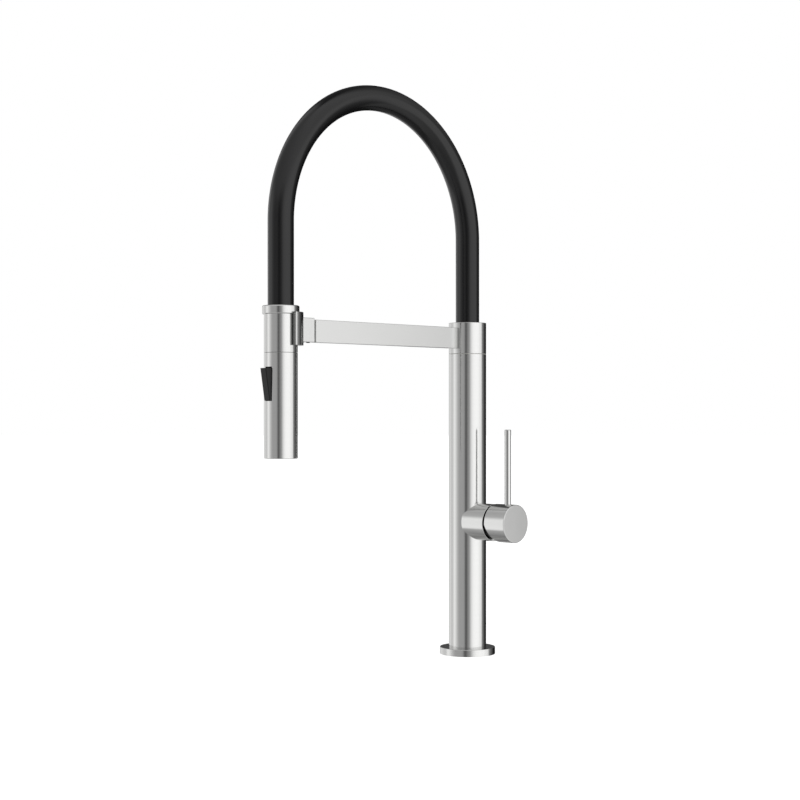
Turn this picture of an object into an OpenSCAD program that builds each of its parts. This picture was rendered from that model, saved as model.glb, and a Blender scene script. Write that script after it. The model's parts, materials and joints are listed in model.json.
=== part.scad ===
// Pull down kitchen faucet with a swivelling dock arm and an arched, spring supported hose.
// Millimetres. +Z is up, the column stands on Z, the arm reaches towards -Y, the handle points along +X.
// The origin is on the column's axis, on the deck face under the base flange.

/* [Column and base] */
// Radius of the column
column_r = 17.5; // [15:0.1:21]
// Wall of the column tube
column_wall = 2; // [1.5:0.1:3]
// Height of the seam between the column and the swivel collar
column_h = 280.5; // [230:0.5:340]
// How far the base flange stands out from the column
flange_out = 8.35; // [6:0.05:15]
// Thickness of the base flange
flange_h = 6.5; // [5:0.1:9]
// Depth below the deck of the mounting shank
shank_depth = 58; // [48:1:70]
// How much narrower than the column the threaded mounting shank is, in radius
shank_inset = 1.5; // [1:0.1:2.5]
// Wall of the mounting shank
shank_wall = 2.2; // [1.5:0.1:3]
// Deck thickness that the nut is set to
deck_t = 30; // [24:1:36]

/* [Valve and handle] */
// Height of the handle's axis above the deck
valve_z = 124; // [100:1:150]
// How much slimmer than the column the valve boss is, in radius
boss_inset = 0.3; // [0.2:0.05:1]
// How far the boss stands out from the column
boss_out = 15.7; // [13:0.1:22]
// Wall of the boss round the cartridge
boss_wall = 3.2; // [2.5:0.1:4]
// How much wider than the boss the handle cap is, in radius
cap_step = 0.3; // [0:0.05:2]
// Gap between the boss's end and the cap
cap_gap = 2.3; // [2:0.1:3]
// Length of the handle cap
cap_len = 23.3; // [20:0.1:28]
// Tilt of the handle from shut to fully open, in degrees
lift_deg = 20; // [15:1:22]
// Radius of the pin lever
lever_r = 3; // [2.5:0.1:4]
// Distance from the cap's outer end to the pin lever's axis
lever_inset = 9.5; // [7.5:0.1:11.5]
// Height of the pin lever's tip above the handle's axis
lever_h = 86; // [60:1:110]

/* [Spout arm and dock] */
// Height of the swivel collar above the column seam
collar_h = 29.1; // [27:0.1:34]
// Distance from the column's axis to the spray head's axis
reach = 235.2; // [190:0.2:290]
// Height of the arm's underside above the column seam
arm_z = 4.9; // [3.5:0.1:6]
// How far the arm's top is below the collar's top
arm_drop = 4.8; // [3.5:0.1:6]
// Thickness of the arm's flat bar
arm_t = 6; // [5:0.1:8]
// Length of the holder block, from the saddle's outside
block_len = 15.8; // [14:0.5:26]
// Thickness of the holder block
block_t = 9; // [8:0.1:12]
// How much higher than the arm the block's top is; their undersides are level
block_step = 1.2; // [0.5:0.1:1.5]
// How far the dock saddle's outside is from the spray head's body
saddle_out = 4.8; // [3.7:0.1:6]
// Height of the dock saddle
saddle_h = 27.8; // [24:0.1:32]
// Angle that the saddle wraps beyond a half circle at each end, in degrees
saddle_wrap = 0.6; // [0:0.1:8]

/* [Hose] */
// How much narrower than the spray head's body the rubber sleeve is, in radius
sleeve_inset = 3.1; // [2.5:0.1:4]
// Wall of the rubber sleeve
sleeve_wall = 1.4; // [1:0.1:1.6]
// Wall of the inner water hose
hose_wall = 2.2; // [1.8:0.1:2.4]
// Radius of the support spring's wire
wire_r = 0.8; // [0.6:0.05:0.9]
// Pitch of the support spring
spring_pitch = 12; // [8:0.5:16]
// Length of the straight hose leg above the collar
leg_h = 76.4; // [60:0.1:100]

/* [Spray head] */
// Outside radius of the spray head's body
spray_r = 14.1; // [13.5:0.1:15]
// Wall of the spray head's body
spray_wall = 1.6; // [1.2:0.1:2]
// How much wider than the body the top ring is, in radius
ring_step = 1.5; // [0.5:0.1:2.5]
// Height of the top ring
ring_h = 7.4; // [6:0.1:9]
// Height of the head's upper body, under the ring
upper_h = 32; // [30:0.1:38]
// Height of the head's lower body
lower_h = 88.2; // [80:0.1:110]
// Width of the spray paddle
paddle_w = 7.4; // [6:0.1:8]
// Height of the spray paddle
paddle_h = 27; // [22:0.1:30]
// Angle that the paddle rocks through, in degrees
paddle_deg = 9; // [5:0.5:10]

/* [Clearances] */
// Radial clearance of a running fit
fit = 0.05; // [0.03:0.01:0.08]
// Clearance between pieces that pass each other
gap = 0.3; // [0.3:0.05:0.5]

/* [Hidden] */
$fn = 64;

eps = 0.5;
steel = "silver";
brass = "goldenrod";
black = "#202020";

// Column and base
column_in = column_r - column_wall;
flange_r = column_r + flange_out;
edge_c = 0.5;
flange_seat = 2;
shank_r = column_r - shank_inset;
shank_in = shank_r - shank_wall;
shank_top = 20;
shank_relief = 0.8;
thread_relief_h = 1.5;
thread_relief_r = shank_r - 0.4;
gasket_r = 1.25;
seat_slack = 0.1;
gasket_ring = (shank_r + flange_r) / 2 + 1.5;

// Mounting hardware, hung under the deck
washer_r = shank_r + 10;
rubber_t = 3;
steel_t = 2;
nut_h = 12;
nut_flats_r = shank_r + 7.5;
nut_corner_r = nut_flats_r + 1.5;
hardware_z = -deck_t - rubber_t - steel_t;
driver_slot = 1;
clamp_r = 2.5;
clamp_ring = shank_r + 4;
clamp_len = 16;

// Valve boss, and the mixing manifold inside it and the column
boss_r = column_r - boss_inset;
boss_end = column_r + boss_out;
boss_bore_r = boss_r - boss_wall;
boss_root = column_r * 0.44;
manifold_below = 28;
manifold_above = 28;
manifold_face = column_in + 0.1;
inlet_r = 4.25;
inlet_at = boss_bore_r * 15 / 28;
inlet_depth = 18;
port_r = boss_bore_r * 5 / 28;
port_ring = boss_bore_r * 3 / 7;
riser_r = 6;
riser_wall = 1.5;
riser_socket = 12;
riser_bottom = valve_z + manifold_above - riser_socket;

// Swivel between the column and the collar
spigot_r = 11;
plug_h = 18;
bearing_t = 0.5;
bearing_r = column_r - 0.6;
collar_z = column_h + bearing_t / 2;
collar_top = column_h + collar_h;
web_z = collar_top - 8.1;
web_t = 2.5;
spigot_top = web_z - 1;
spigot_h = spigot_top - column_h;
groove_z = column_h + spigot_h / 4;
groove_h = 3.5;
groove_r = spigot_r - 1.6;
seal_r = 1.2;
riser_seal_ring = riser_r + seal_r / 2;
riser_seal_zs = [riser_bottom + riser_socket / 2, column_h - plug_h * 3 / 4];
seal_zs = [column_h + spigot_h * 5 / 8, column_h + spigot_h * 5 / 6];
screw_r = 1.5;
screw_head_r = 2 * screw_r;
screw_head_t = 2.4;
grub_r = 2;
handle_grub_r = 1.5;
grub_inset = 1;
hex_depth = 2;

// Ceramic cartridge, all places measured along +X from the column's axis
housing_r = boss_bore_r - 0.4;
housing_wall = 1.8;
cart_len = boss_end - manifold_face;
housing_end = boss_end - cart_len * 0.295;
port_seal_r = port_r + 0.9;
port_seal_t = 1;
fixed_x = manifold_face + cart_len / 8;
fixed_t = cart_len / 8;
disc_r = housing_r - housing_wall - 0.2;
moving_r = disc_r - 3.1;
mixing_r = moving_r - 4;
mixing_shift = 2;
moving_t = cart_len * 3 / 22;
moving_x = fixed_x + fixed_t + gap / 3;
coupler_x = moving_x + moving_t;
coupler_t = cart_len * 0.244;
coupler_floor = 1;
pivot_x = boss_end - cart_len * 2 / 11;
ball_r = cart_len * 3 / 22;
ball_x = pivot_x - cart_len * 0.216;
stem_back = pivot_x - cart_len * 0.108;
holder_x = coupler_x + coupler_t + gap;
holder_end = pivot_x + 1.6;
holder_r = housing_r - housing_wall - fit;
pivot_len = 2 * holder_r - 2;
stem_w = 7;
stem_slot = 13;
pivot_r = 1.3;
nut_end = boss_end + 0.7;
nut_hole = 8.5;

// Handle
cap_r = boss_r + cap_step;
cap_x = boss_end + cap_gap;
cap_end = cap_x + cap_len;
cavity_r = cap_r - 2.5;
lever_wall = 1.3;
cavity_len = cap_len - lever_inset - lever_r - lever_wall;
relief_drop = 1;
adapter_inset = 1;
stem_end = cap_x + cavity_len - 0.5;
lever_x = cap_end - lever_inset;
lever_root = 6;
lever_tip = 0.8;
grub_x = cap_x + cavity_len - 1.7;

// Arm, block and dock, heights above the deck
arm_h = collar_h - arm_z - arm_drop;
arm_bottom = column_h + arm_z;
arm_top = arm_bottom + arm_h;
saddle_r = spray_r + saddle_out;
arm_end = reach - saddle_r - block_len;
block_bottom = arm_bottom;
block_top = arm_top + block_step;
arm_screw_zs = [arm_bottom + arm_h * 0.24, arm_bottom + arm_h * 0.66];
arm_screw_end = column_r + 9;
tongue_t = 3;
tongue_h = arm_h - 8;
tongue_z = arm_bottom + (arm_h - tongue_h) / 2;
tongue_len = 13;
neck_len = 2.9;
block_screws_at = [3.7, 10.7];
block_screw_out = 0.5;
saddle_top = collar_top;
saddle_bottom = saddle_top - saddle_h;
liner_in = spray_r + 0.2;
liner_t = 0.6;
saddle_in = liner_in + liner_t;
ring_r = spray_r + ring_step;
ring_seat = 2.1;
ring_seat_r = ring_r + 0.3;
saddle_sweep = 180 + 2 * saddle_wrap;
magnet_r = 4;
magnet_t = 2;
magnet_angles = [50, 130];
liner_lift = 0.3;

// Spray head and the hose in it, heights above the deck
ring_bottom = saddle_top - ring_seat + 0.2;
seam_z = ring_bottom - upper_h;
seam_gap = 0.2;
outlet_z = seam_z - lower_h;
spray_in = spray_r - spray_wall;
core_r = spray_in - 0.1;
sleeve_r = spray_r - sleeve_inset;
spring_room = 2 * wire_r + 0.8;
hose_r = sleeve_r - sleeve_wall - spring_room;
nipple_r = hose_r - hose_wall - 0.1;
nipple_bore = nipple_r - 1.6;
barb_len = 14;
gland_r = nipple_r + 1.1;
gland_head_t = 0.8;
nipple_flange_r = hose_r + 1.2;
nipple_flange_h = 5;
nipple_flange_z = ring_bottom - 7.8;
nipple_seal_z = nipple_flange_z - 8;
socket_depth = 16;
socket_z = nipple_flange_z - socket_depth;
end_nut_z = nipple_flange_z + nipple_flange_h + gap;
end_nut_h = 2.6;
end_nut_r = sleeve_r - 0.5;
sleeve_low = end_nut_z + end_nut_h + gap;
ring_round = 1.2;
skirt_h = 5;
skirt_r = spray_in - fit;
keeper_z = saddle_bottom + 6;
keeper_t = 1.4;
core_top = nipple_flange_z - 0.2;
core_bottom = outlet_z + 13;
core_neck_r = spray_in - keeper_t - 0.1;
channel_r = 2.5;
valve_pocket_r = 5;
valve_pocket_h = 12;
nozzle_z = outlet_z + 0.6;
nozzle_t = 4;
jet_ring = spray_in - 2.5;
jet_r = 0.7;
jet_step = 24;
aerator_r = spray_in - 4.5;
aerator_z = outlet_z + 1;
aerator_h = 11;
mesh_floor = 2;
mesh_r = aerator_r - 2;
mesh_pitch = 2.4;

// Paddle, measured outwards from the head's axis and up from the paddle's middle
paddle_z = outlet_z + lower_h * 0.7;
paddle_out_top = spray_r + 5.8;
paddle_out_low = spray_r + 1.3;
paddle_back = spray_r - 0.5;
pivot_out = spray_in - 2.5;
paddle_hub = 2.2;
paddle_web = 1.6;
paddle_pin_r = 1;
paddle_pin_len = 2 * sqrt(pow(core_r, 2) - pow(pivot_out + paddle_pin_r, 2)) - gap;
slot_clear = 0.35;
rocking_rise = paddle_h / 2 * (1 / cos(paddle_deg) - 1) + (spray_r - pivot_out) * tan(paddle_deg);
pocket_out = pivot_out - 3.5;
spool_r = 2.5;
spool_z = 6;
spool_out = pivot_out - 2.6;
spool_back = 3;
spool_travel = 1.5;

// Hose route: a leg up from the collar, a half circle over to the head, and a leg down
arch_r = reach / 2;
arch_z = collar_top + leg_h;
sleeve_foot = collar_top - 5;
spring_r = (sleeve_r - sleeve_wall + hose_r) / 2;
spring_low = sleeve_foot + wire_r + 0.2;
spring_end_z = sleeve_low + wire_r + 0.2;

// A tube standing on the XY plane.
module tube(outer, inner, h) {
    difference() {
        cylinder(r = outer, h = h);
        translate([0, 0, -eps]) cylinder(r = inner, h = h + 2 * eps);
    }
}

// Places its children on the handle's axis, lying along +X from the distance x.
module along_x(x) {
    translate([x, 0, valve_z]) rotate([0, 90, 0]) children();
}

// Places its children on the spray head's axis, which stands parallel to the column.
module at_spray(z) {
    translate([0, -reach, z]) children();
}

// Lays its children along -Y, outwards from the spray head's axis, at the height z.
module out_of_spray(z) {
    translate([0, -reach, z]) rotate([90, 0, 0]) children();
}

// An O-ring lying flat on the XY plane.
module o_ring(ring, section) {
    rotate_extrude() translate([ring, 0]) circle(r = section, $fn = 24);
}

// ---- Base and column ----

module base_flange() {
    color(steel) difference() {
        rotate_extrude() polygon([
            [0, 0], [flange_r, 0], [flange_r, flange_h - edge_c],
            [flange_r - edge_c, flange_h], [0, flange_h]
        ]);
        translate([0, 0, flange_seat]) cylinder(r = column_r, h = flange_h);
        translate([0, 0, -eps]) cylinder(r = column_in, h = flange_h);
        translate([0, 0, -eps]) cylinder(r = shank_r + gap, h = shank_relief + eps);
        o_ring(gasket_ring, gasket_r + seat_slack);
    }
}

module base_gasket() {
    color(black) intersection() {
        o_ring(gasket_ring, gasket_r);
        cylinder(r = flange_r, h = flange_h);
    }
}

module column_tube() {
    color(steel) difference() {
        translate([0, 0, flange_seat]) cylinder(r = column_r, h = column_h - bearing_t / 2 - flange_seat);
        translate([0, 0, flange_seat - eps]) cylinder(r = column_in, h = column_h);
        along_x(0) cylinder(r = boss_bore_r, h = column_r + eps);
    }
}

module valve_boss() {
    color(steel) difference() {
        along_x(boss_root) cylinder(r = boss_r, h = boss_end - boss_root);
        cylinder(r = column_r, h = 2 * valve_z);
        along_x(0) cylinder(r = boss_bore_r, h = boss_end + eps);
    }
}

module mounting_shank() {
    color(brass) difference() {
        union() {
            translate([0, 0, -shank_depth]) cylinder(r = shank_r, h = shank_depth);
            cylinder(r = column_in - fit / 2, h = shank_top);
        }
        translate([0, 0, -shank_depth - eps]) cylinder(r = shank_in, h = shank_depth + shank_top + 2 * eps);
        translate([0, 0, -deck_t - thread_relief_h]) tube(shank_r + eps, thread_relief_r, thread_relief_h);
    }
}

// ---- Mounting hardware ----

module rubber_washer() {
    color(black) translate([0, 0, -deck_t - rubber_t]) tube(washer_r, shank_r + gap, rubber_t);
}

module steel_washer() {
    color(steel) translate([0, 0, hardware_z]) tube(washer_r, shank_r + gap, steel_t);
}

module clamp_places() {
    for (turn = [30, 150, 270]) rotate([0, 0, turn]) translate([clamp_ring, 0, 0]) children();
}

module mounting_nut() {
    color(brass) translate([0, 0, hardware_z - nut_h]) difference() {
        intersection() {
            cylinder(r = nut_flats_r / cos(30), h = nut_h, $fn = 6);
            cylinder(r = nut_corner_r, h = nut_h);
        }
        translate([0, 0, -eps]) cylinder(r = shank_r + fit, h = nut_h + 2 * eps);
        clamp_places() translate([0, 0, -eps]) cylinder(r = clamp_r, h = nut_h + 2 * eps);
    }
}

module nut_clamp_screws() {
    color(steel) translate([0, 0, hardware_z - clamp_len]) clamp_places() difference() {
        cylinder(r = clamp_r, h = clamp_len);
        translate([-clamp_r, -driver_slot / 2, -eps]) cube([2 * clamp_r, driver_slot, driver_slot + eps]);
    }
}

// ---- Water path in the column ----

// The passage along Z under one inlet's port, with its elbow to the manifold's face.
module inlet_passage(side) {
    port_z = -port_ring / 2;
    translate([0, side * inlet_at, valve_z - manifold_below - eps])
        cylinder(r = inlet_r, h = inlet_depth + eps);
    translate([0, side * inlet_at, valve_z - manifold_below])
        cylinder(r = port_r, h = manifold_below + port_z);
    translate([0, side * inlet_at, valve_z + port_z]) rotate([0, 90, 0])
        cylinder(r = port_r, h = manifold_face + eps);
}

module mixing_manifold() {
    color(brass) difference() {
        union() {
            translate([0, 0, valve_z - manifold_below])
                cylinder(r = column_in - fit, h = manifold_below + manifold_above);
            along_x(0) cylinder(r = boss_bore_r - fit, h = manifold_face);
        }
        for (side = [-1, 1]) inlet_passage(side);
        translate([0, 0, riser_bottom]) cylinder(r = riser_r, h = manifold_above);
        translate([0, 0, valve_z + port_ring]) cylinder(r = riser_r - riser_wall, h = manifold_above);
        translate([0, 0, valve_z + port_ring]) rotate([0, 90, 0])
            cylinder(r = port_r, h = manifold_face + eps);
        translate([0, 0, riser_seal_zs[0]]) o_ring(riser_seal_ring, seal_r + seat_slack);
    }
}

module riser_tube() {
    color(brass) translate([0, 0, riser_bottom])
        tube(riser_r, riser_r - riser_wall, column_h - plug_h / 2 - riser_bottom);
}

module riser_seals() {
    color(black) difference() {
        for (z = riser_seal_zs) translate([0, 0, z]) o_ring(riser_seal_ring, seal_r);
        translate([0, 0, riser_bottom]) cylinder(r = riser_r, h = column_h);
    }
}

module swivel_spigot() {
    color(brass) difference() {
        union() {
            translate([0, 0, column_h - plug_h]) cylinder(r = column_in - fit / 2, h = plug_h);
            translate([0, 0, column_h - eps]) cylinder(r = spigot_r, h = spigot_top - column_h + eps);
        }
        translate([0, 0, column_h - plug_h - eps]) cylinder(r = riser_r - riser_wall, h = column_h);
        translate([0, 0, column_h - plug_h - eps]) cylinder(r = riser_r, h = plug_h / 2 + eps);
        translate([0, 0, riser_seal_zs[1]]) o_ring(riser_seal_ring, seal_r + seat_slack);
        translate([0, 0, groove_z]) tube(spigot_r + eps, groove_r, groove_h);
        for (z = seal_zs) translate([0, 0, z - seal_r - seat_slack])
            tube(spigot_r + eps, spigot_r - 2 * seal_r, 2 * (seal_r + seat_slack));
    }
}

module spigot_seals() {
    color(black) for (z = seal_zs) translate([0, 0, z]) o_ring(spigot_r - seal_r, seal_r - seat_slack);
}

module bearing_washer() {
    color(black) translate([0, 0, column_h - bearing_t / 2]) difference() {
        tube(bearing_r, spigot_r + fit, bearing_t - seat_slack);
        translate([0, 0, -eps]) cylinder(r = column_in, h = bearing_t / 2 + eps);
    }
}

// ---- Ceramic cartridge ----

// The three ports through the cartridge's base and its fixed disc.
module port_places() {
    for (side = [-1, 1]) translate([port_ring / 2, side * inlet_at, 0]) children();
    translate([-port_ring, 0, 0]) children();
}

module cartridge_housing() {
    base_t = fixed_x - manifold_face;
    color("dimgray") along_x(manifold_face) difference() {
        cylinder(r = housing_r, h = housing_end - manifold_face);
        translate([0, 0, base_t]) cylinder(r = housing_r - housing_wall, h = housing_end);
        port_places() translate([0, 0, -eps]) cylinder(r = port_r, h = base_t + 2 * eps);
        port_places() translate([0, 0, -eps]) cylinder(r = port_seal_r, h = port_seal_t + eps);
    }
}

module port_seals() {
    color(black) along_x(manifold_face) port_places() tube(port_seal_r, port_r, port_seal_t);
}

module fixed_ceramic_disc() {
    color("white") along_x(fixed_x) difference() {
        cylinder(r = disc_r, h = fixed_t);
        port_places() translate([0, 0, -eps]) cylinder(r = port_r, h = fixed_t + 2 * eps);
    }
}

module cartridge_nut() {
    color(black) difference() {
        along_x(housing_end) cylinder(r = boss_bore_r - fit, h = nut_end - housing_end);
        along_x(housing_end - eps) cylinder(r = nut_hole, h = nut_end);
        along_x(housing_end - eps) cylinder(r = holder_r + gap, h = holder_end + gap - housing_end + eps);
    }
}

module stem_holder() {
    color("dimgray") difference() {
        along_x(holder_x) cylinder(r = holder_r, h = holder_end - holder_x);
        translate([0, -stem_w / 2 - gap, valve_z - stem_slot / 2])
            cube([cap_x, stem_w + 2 * gap, stem_slot]);
        translate([pivot_x, 0, valve_z]) rotate([90, 0, 0])
            cylinder(r = pivot_r, h = pivot_len, center = true);
    }
}

module stem_pivot_pin() {
    color(steel) translate([pivot_x, 0, valve_z]) rotate([90, 0, 0])
        cylinder(r = pivot_r, h = pivot_len, center = true);
}

module disc_coupler() {
    color("dimgray") along_x(coupler_x) difference() {
        cylinder(r = moving_r, h = coupler_t);
        translate([0, 0, coupler_floor]) cylinder(r = ball_r + gap, h = coupler_t);
    }
}

module moving_ceramic_disc() {
    color("white") along_x(moving_x) difference() {
        cylinder(r = moving_r, h = moving_t);
        translate([mixing_shift, 0, -eps]) cylinder(r = mixing_r, h = moving_t / 2 + eps);
    }
}

// ---- Handle ----

// Everything on the boss's side of the handle's relieved end face, which starts at x.
module handle_relief(x) {
    depth = 3 * cap_r;
    translate([0, 0, valve_z]) rotate([90, 0, 0])
        linear_extrude(height = 4 * cap_r, center = true) polygon([
        [x - depth, depth], [x, depth], [x, -relief_drop],
        [x + tan(lift_deg) * depth, -relief_drop - depth], [x - depth, -relief_drop - depth]
    ]);
}

module lever_stem() {
    color(steel) difference() {
        union() {
            translate([stem_back, -stem_w / 2, valve_z - stem_w / 2])
                cube([stem_end - stem_back, stem_w, stem_w]);
            along_x(ball_x) cylinder(r = ball_r * 0.7, h = stem_back - ball_x + eps);
            translate([ball_x, 0, valve_z]) sphere(r = ball_r);
        }
        translate([pivot_x, 0, valve_z]) rotate([90, 0, 0])
            cylinder(r = pivot_r + fit, h = 2 * stem_w, center = true);
    }
}

module stem_adapter() {
    color(black) difference() {
        along_x(cap_x) cylinder(r = cavity_r - fit, h = cavity_len);
        handle_relief(cap_x + adapter_inset);
        translate([0, -stem_w / 2, valve_z - stem_w / 2]) cube([stem_end, stem_w, stem_w]);
        translate([grub_x, 0, valve_z - cap_r - eps]) cylinder(r = handle_grub_r, h = cap_r + eps);
    }
}

module handle_cap() {
    color(steel) difference() {
        along_x(0) rotate_extrude() polygon([
            [0, 0], [cap_r, 0], [cap_r, cap_end - edge_c], [cap_r - edge_c, cap_end], [0, cap_end]
        ]);
        handle_relief(cap_x);
        along_x(0) cylinder(r = cavity_r, h = cap_x + cavity_len);
        translate([lever_x, 0, valve_z + lever_root]) cylinder(r = lever_r, h = cap_r);
        translate([grub_x, 0, valve_z - cap_r - eps]) cylinder(r = handle_grub_r, h = cap_r / 2);
    }
}

module lever_pin() {
    color(steel) translate([lever_x, 0, valve_z]) rotate_extrude() polygon([
        [0, lever_root], [lever_r, lever_root], [lever_r, lever_h - lever_tip],
        [lever_r - lever_tip, lever_h], [0, lever_h]
    ]);
}

module handle_grub_screw() {
    len = cap_r - stem_w / 2 - grub_inset;
    color(black) translate([grub_x, 0, valve_z - stem_w / 2]) rotate([180, 0, 0]) difference() {
        cylinder(r = handle_grub_r, h = len);
        translate([0, 0, len - hex_depth])
            cylinder(r = handle_grub_r / 2, h = hex_depth + eps, $fn = 6);
    }
}

// ---- Swivel collar and arm ----

module swivel_collar() {
    color(steel) difference() {
        rotate_extrude() polygon([
            [0, collar_z], [column_r, collar_z], [column_r, collar_top - edge_c],
            [column_r - edge_c, collar_top], [0, collar_top]
        ]);
        translate([0, 0, collar_z - eps]) cylinder(r = spigot_r + fit, h = web_z - collar_z + eps);
        translate([0, 0, web_z - eps]) cylinder(r = gland_r, h = web_t + 2 * eps);
        translate([0, 0, web_z + web_t]) cylinder(r = sleeve_r, h = collar_h);
        translate([0, 0, groove_z + groove_h / 2]) rotate([-90, 0, 0])
            cylinder(r = grub_r, h = column_r + eps);
        arm_screw_bores();
    }
}

module spout_grub_screw() {
    tip = groove_r + gap;
    color(black) translate([0, 0, groove_z + groove_h / 2]) rotate([-90, 0, 0]) difference() {
        union() {
            translate([0, 0, tip]) cylinder(r = grub_r * 0.6, h = column_r - tip - grub_inset);
            translate([0, 0, spigot_r + gap])
                cylinder(r = grub_r, h = column_r - spigot_r - gap - grub_inset);
        }
        translate([0, 0, column_r - grub_inset - hex_depth])
            cylinder(r = grub_r / 2, h = hex_depth + eps, $fn = 6);
    }
}

// Places its children at the two screws that hold the arm, lying along -Y.
module arm_screw_places() {
    for (z = arm_screw_zs) translate([0, 0, z]) rotate([90, 0, 0]) children();
}

// The screws' bores: a shank bore into the arm and a pocket in the collar's wall for the head.
module arm_screw_bores() {
    arm_screw_places() {
        cylinder(r = screw_r, h = arm_screw_end);
        cylinder(r = screw_head_r, h = spigot_r + 2 * gap + screw_head_t);
    }
}

module arm_screws() {
    head = spigot_r + 2 * gap;
    color(black) arm_screw_places() difference() {
        union() {
            translate([0, 0, head]) cylinder(r = screw_head_r, h = screw_head_t);
            translate([0, 0, head]) cylinder(r = screw_r, h = arm_screw_end - head);
        }
        translate([0, 0, head - eps]) cylinder(r = screw_r * 0.6, h = screw_head_t / 2 + eps, $fn = 6);
    }
}

// The flat tongue at the arm's end, which the holder block's slot takes. The arm is necked to the
// tongue's thickness just before the block.
module arm_tongue() {
    translate([-tongue_t / 2, -arm_end - tongue_len, tongue_z])
        cube([tongue_t, tongue_len + eps, tongue_h]);
}

module support_arm() {
    color(steel) difference() {
        union() {
            translate([-arm_t / 2, -arm_end + neck_len, arm_bottom])
                cube([arm_t, arm_end - neck_len, arm_h]);
            translate([-tongue_t / 2, -arm_end, arm_bottom]) cube([tongue_t, neck_len + eps, arm_h]);
            arm_tongue();
        }
        translate([0, 0, collar_z]) cylinder(r = column_r, h = collar_h);
        arm_screw_bores();
    }
}

// ---- Dock ----

module holder_block() {
    color(steel) difference() {
        translate([-block_t / 2, -reach, block_bottom])
            cube([block_t, reach - arm_end, block_top - block_bottom]);
        at_spray(block_bottom - eps) cylinder(r = saddle_r, h = block_top - block_bottom + 2 * eps);
        arm_tongue();
        block_screw_places() translate([0, 0, block_bottom - eps])
            cylinder(r = screw_r, h = tongue_z - block_bottom + 2 * eps);
    }
}

module block_screw_places() {
    for (back = block_screws_at) translate([0, -arm_end - back, 0]) children();
}

module block_grub_screws() {
    color(black) block_screw_places() translate([0, 0, block_bottom - block_screw_out]) difference() {
        cylinder(r = screw_r, h = tongue_z - block_bottom + block_screw_out);
        translate([0, 0, -eps]) cylinder(r = screw_r / 2, h = hex_depth / 2 + eps, $fn = 6);
    }
}

// A part ring around the head's back, open towards -Y.
module saddle_ring(inner, outer, z0, z1) {
    at_spray(0) rotate([0, 0, -saddle_wrap]) rotate_extrude(angle = saddle_sweep)
        translate([inner, z0]) square([outer - inner, z1 - z0]);
}

// Places its children at the two magnets, lying along the radius.
module magnet_places() {
    for (turn = magnet_angles)
        at_spray(saddle_bottom + saddle_h / 2) rotate([0, 0, turn]) rotate([0, 90, 0]) children();
}

module dock_saddle() {
    color(steel) difference() {
        saddle_ring(saddle_in, saddle_r, saddle_bottom, saddle_top);
        at_spray(saddle_top - ring_seat) cylinder(r = ring_seat_r, h = ring_seat + eps);
        magnet_places() cylinder(r = magnet_r, h = saddle_in + magnet_t);
    }
}

module saddle_liner() {
    color(black) saddle_ring(liner_in, saddle_in, saddle_bottom + liner_lift, saddle_top - ring_seat);
}

module dock_magnets() {
    color("dimgray") difference() {
        magnet_places() cylinder(r = magnet_r, h = saddle_in + magnet_t);
        at_spray(saddle_bottom) cylinder(r = saddle_in, h = saddle_h);
    }
}

// ---- Hose ----

// A tube along the whole hose route: up, over and down, between two foot heights.
module arched_tube(outer, inner, foot, end_foot) {
    translate([0, 0, foot]) tube(outer, inner, arch_z - foot);
    translate([0, -arch_r, arch_z]) rotate([90, 0, 90]) rotate_extrude(angle = 180)
        translate([arch_r, 0]) difference() {
            circle(r = outer);
            circle(r = inner);
        }
    at_spray(end_foot) tube(outer, inner, arch_z - end_foot);
}

module hose_sleeve() {
    color(black) arched_tube(sleeve_r, sleeve_r - sleeve_wall, sleeve_foot, sleeve_low);
}

module inner_hose() {
    color("dimgray")
        arched_tube(hose_r, hose_r - hose_wall, web_z + web_t, nipple_flange_z + nipple_flange_h);
}

module hose_gland() {
    color(brass) translate([0, 0, web_z]) difference() {
        union() {
            translate([0, 0, -gland_head_t]) cylinder(r = gland_r + 2, h = gland_head_t);
            cylinder(r = gland_r, h = web_t);
            cylinder(r = nipple_r, h = web_t + barb_len);
        }
        translate([0, 0, -gland_head_t - eps])
            cylinder(r = nipple_bore, h = gland_head_t + web_t + barb_len + 2 * eps);
    }
}

// The hose's centreline by the distance s from the collar's end, as [y, z, slope angle from +Z].
leg_up = arch_z - spring_low;
leg_down = arch_z - spring_end_z;
arch_len = 180 * arch_r * PI / 180;
route_len = leg_up + arch_len + leg_down;
function route(s) =
    s < leg_up ? [0, spring_low + s, 0]
    : s > leg_up + arch_len ? [-reach, arch_z - (s - leg_up - arch_len), 180]
    : let (turn = (s - leg_up) / arch_r * 180 / PI)
        [-arch_r + arch_r * cos(turn), arch_z + arch_r * sin(turn), turn];

// One corner of the wire's section, at the distance s, the coil angle phi and the section angle alpha.
function coil_point(s, phi, alpha) =
    let (
        place = route(s),
        ahead = [0, -sin(place[2]), cos(place[2])],
        aside = [0, cos(place[2]), sin(place[2])],
        outwards = cos(phi) * aside + sin(phi) * [1, 0, 0]
    )
    [0, place[0], place[1]] + (spring_r + wire_r * cos(alpha)) * outwards + wire_r * sin(alpha) * ahead;

module hose_spring() {
    steps = 10;
    corners = 5;
    rings = floor(route_len / spring_pitch * steps);
    points = [
        for (i = [0:rings]) for (k = [0:corners - 1])
            coil_point(i * route_len / rings, i * 360 / steps, k * 360 / corners)
    ];
    sides = [
        for (i = [0:rings - 1]) for (k = [0:corners - 1])
            let (a = i * corners + k, b = i * corners + (k + 1) % corners)
            each [[a, b, b + corners], [a, b + corners, a + corners]]
    ];
    start_cap = [for (k = [0:corners - 1]) corners - 1 - k];
    end_cap = [for (k = [0:corners - 1]) rings * corners + k];
    color(steel) polyhedron(points = points, faces = concat(sides, [start_cap, end_cap]));
}

// ---- Spray head ----

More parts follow.
